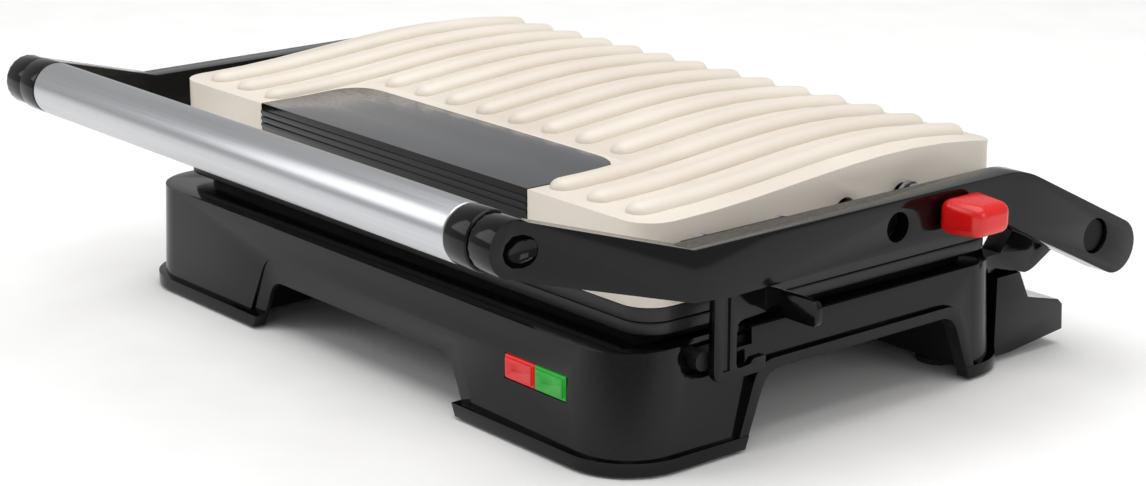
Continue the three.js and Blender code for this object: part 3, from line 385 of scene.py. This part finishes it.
def badgePanel():  # grey on top, and black down its front face
    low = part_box("badge_panel")[0]
    edge = archFoot * mm
    panel = mergedCopy("badge_panel")
    for step in badge["steps"]:  # fine moulded lines across the front, just under the top edge
        for down in step:
            selectFaces(panel, lambda face: face.normal.y < badge["front"])
            bpy.ops.mesh.bisect(plane_co=(0, low.y, edge - down * mm), plane_no=(0, 0, 1))
            bpy.ops.object.mode_set(mode="OBJECT")
        top, bottom = (edge - down * mm for down in step)
        selectFaces(panel, lambda face: face.normal.y < badge["front"] and bottom < face.center.z < top)
        bpy.ops.mesh.extrude_region_move(TRANSFORM_OT_translate={"value": (0, -badge["stepOut"] * mm, 0)})
        bpy.ops.object.mode_set(mode="OBJECT")
    roundEdges(panel, badge["edgeRound"], badge["edgeAngle"])
    settle(panel, "badge_panel_moulding", "badge_panel")
    panel.data.materials.append(finishes["blackGlossAbs"])
    for face in panel.data.polygons:
        if face.normal.y < badge["blackFrom"] or face.center.z < edge - badge["edgeRound"] * mm:
            face.material_index = 1


badgePanel()

knob = {
    "clearance": 0.4, "outer": 0.9, "endWidth": 0.82, "endHeight": 0.86, "endCentre": 0.6, "edgeRound": 3.4,
    "edgeSegments": 7, "stemRadius": 3, "stemSides": 32, "stemInGrip": 2, "stemRound": 0.5, "stemAngle": 60,
}


def releaseKnob():  # a rounded block that narrows outwards, on a round stem
    low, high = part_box("release_knob")
    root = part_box("right_arm")[1].x + knob["clearance"] * mm
    middle = Vector(((root + high.x) / 2, (low.y + high.y) / 2, (low.z + high.z) / 2))
    bpy.ops.object.select_all(action="DESELECT")
    bpy.ops.mesh.primitive_cube_add(size=1, location=middle)
    grip = bpy.context.object
    grip.scale = (high.x - root, high.y - low.y, high.z - low.z)
    bpy.ops.object.transform_apply(location=True, rotation=True, scale=True)
    selectFaces(grip, lambda face: face.normal.x > knob["outer"])
    bpy.ops.transform.resize(value=(1, knob["endWidth"], knob["endHeight"]),
                             center_override=(high.x, middle.y, low.z + knob["endCentre"] * (high.z - low.z)))
    bpy.ops.object.mode_set(mode="OBJECT")
    modifier(grip, "BEVEL", width=knob["edgeRound"] * mm, segments=knob["edgeSegments"], limit_method="NONE")
    settle(grip, "release_knob_grip", "release_knob")
    bpy.ops.object.select_all(action="DESELECT")
    tip = root + knob["stemInGrip"] * mm
    bpy.ops.mesh.primitive_cylinder_add(vertices=knob["stemSides"], radius=knob["stemRadius"] * mm,
                                        depth=tip - low.x, location=((tip + low.x) / 2, middle.y, middle.z),
                                        rotation=(0, math.pi / 2, 0))
    stem = bpy.context.object
    roundEdges(stem, knob["stemRound"], knob["stemAngle"])
    settle(stem, "release_knob_stem", "release_knob")
    stem.data.materials[0] = finishes["blackSatinAbs"]


releaseKnob()


def knobSpring():  # the spring, which shortens as the knob is pulled out; here only a merged copy with a mesh of its own
    coil = mergedCopy("knob_spring")
    settle(coil, "knob_spring_coil", "knob_spring")
    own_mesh(coil)


knobSpring()

lens = {
    "front": -0.95, "frontDepth": 0.2, "rim": 0.8, "facet": 1.6, "sink": 1.2, "edgeRound": 0.2, "edgeAngle": 60,
}


def indicatorLens(node):  # a raised rim round four sloping facets and a flat middle
    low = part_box(node)[0]
    thing = mergedCopy(node)
    frontEnd = low.y + lens["frontDepth"] * mm
    selectFaces(thing, lambda face: face.normal.y < lens["front"] and face.center.y < frontEnd)
    bpy.ops.mesh.inset(thickness=lens["rim"] * mm, depth=0)
    bpy.ops.mesh.inset(thickness=lens["facet"] * mm, depth=-lens["sink"] * mm)
    bpy.ops.object.mode_set(mode="OBJECT")
    roundEdges(thing, lens["edgeRound"], lens["edgeAngle"], segments=2)
    settle(thing, node + "_moulding", node)


for node in ("red_lens", "green_lens"):
    indicatorLens(node)
print("badge, knob and lenses done")

handle = {"sides": 96, "wall": 1.3, "endRound": 0.5, "collarGap": 0.3, "collarRound": 0.6, "edgeAngle": 60}


def handleTube():  # an open drawn tube with its ends just broken
    low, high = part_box("handle_tube")
    radius = (high.z - low.z) / 2
    bpy.ops.object.select_all(action="DESELECT")
    bpy.ops.mesh.primitive_cylinder_add(vertices=handle["sides"], radius=radius, depth=high.x - low.x,
                                        end_fill_type="NOTHING", location=(low + high) / 2,
                                        rotation=(0, math.pi / 2, 0))
    tube = bpy.context.object
    modifier(tube, "SOLIDIFY", thickness=handle["wall"] * mm, offset=-1)
    roundEdges(tube, handle["endRound"], handle["edgeAngle"])
    settle(tube, "handle_tube_drawn", "handle_tube")


def ferrule(node):  # the collar between the tube's end and the arm
    low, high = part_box(node)
    centre, radius = (low + high) / 2, (high.z - low.z) / 2
    tubeLow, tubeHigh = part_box("handle_tube")
    outer = (tubeHigh.x, high.x) if centre.x > (tubeLow.x + tubeHigh.x) / 2 else (low.x, tubeLow.x)
    bpy.ops.object.select_all(action="DESELECT")
    length = outer[1] - outer[0] - handle["collarGap"] * mm
    bpy.ops.mesh.primitive_cylinder_add(vertices=handle["sides"], radius=radius, depth=length,
                                        location=((outer[0] + outer[1]) / 2, centre.y, centre.z),
                                        rotation=(0, math.pi / 2, 0))
    collar = bpy.context.object
    roundEdges(collar, handle["collarRound"], handle["edgeAngle"])
    settle(collar, node + "_collar", node)


handleTube()
for node in ("right_ferrule", "left_ferrule"):
    ferrule(node)
print("handle done")

floor = {"size": 6, "colours": ("#f8f7f6", "#fbfbfa"), "fleck": 30, "roughness": 0.85}  # matte card
bpy.ops.object.select_all(action="DESELECT")
bpy.ops.mesh.primitive_plane_add(size=floor["size"], location=(0, 0, 0))
ground = bpy.context.object
ground.name = "floor"
material, tree, shader, place = startMaterial("matteCard")
fleck = addNode(tree, "ShaderNodeTexNoise", {"Scale": floor["fleck"], "Detail": 2}, {"Vector": place})
tree.links.new(tint(tree, fleck.outputs["Fac"], *floor["colours"]), shader.inputs["Base Color"])
shader.inputs["Roughness"].default_value = floor["roughness"]
ground.data.materials.append(material)

roomLight = 0.48
world = bpy.data.worlds.new("studio")
bpy.context.scene.world = world
world.use_nodes = True
world.node_tree.nodes["Background"].inputs["Color"].default_value = (1, 1, 1, 1)
world.node_tree.nodes["Background"].inputs["Strength"].default_value = roomLight
lamps = {  # place, aim, size and power of each soft box
    "overhead": ((0.1, 0.0, 1.3), (0, 0, 0), 1.5, 15),
    "frontLeft": ((-0.9, -1.1, 0.9), (0, 0, 0.04), 0.9, 4.5),
    "right": ((1.4, 0.2, 0.6), (0, 0, 0.05), 0.7, 3),
}
for name, (place, aim, size, power) in lamps.items():
    lamp = bpy.data.objects.new(name, bpy.data.lights.new(name, "AREA"))
    lamp.data.size = size
    lamp.data.energy = power
    lamp.location = place
    lamp.rotation_euler = (Vector(aim) - Vector(place)).to_track_quat("-Z", "Y").to_euler()
    bpy.context.scene.collection.objects.link(lamp)

shot = {"place": (0.63178, -0.51821, 0.27074), "turn": 50.313, "drop": 16.415, "lens": 79.49, "sensor": 36}
camera = bpy.data.objects.new("camera", bpy.data.cameras.new("camera"))
camera.data.sensor_width = shot["sensor"]
camera.data.lens = shot["lens"]
camera.location = shot["place"]
camera.rotation_euler = (math.radians(90 - shot["drop"]), 0, math.radians(shot["turn"]))
bpy.context.scene.collection.objects.link(camera)
bpy.context.scene.camera = camera
bpy.context.scene.view_settings.view_transform = "Standard"
print("stage done")
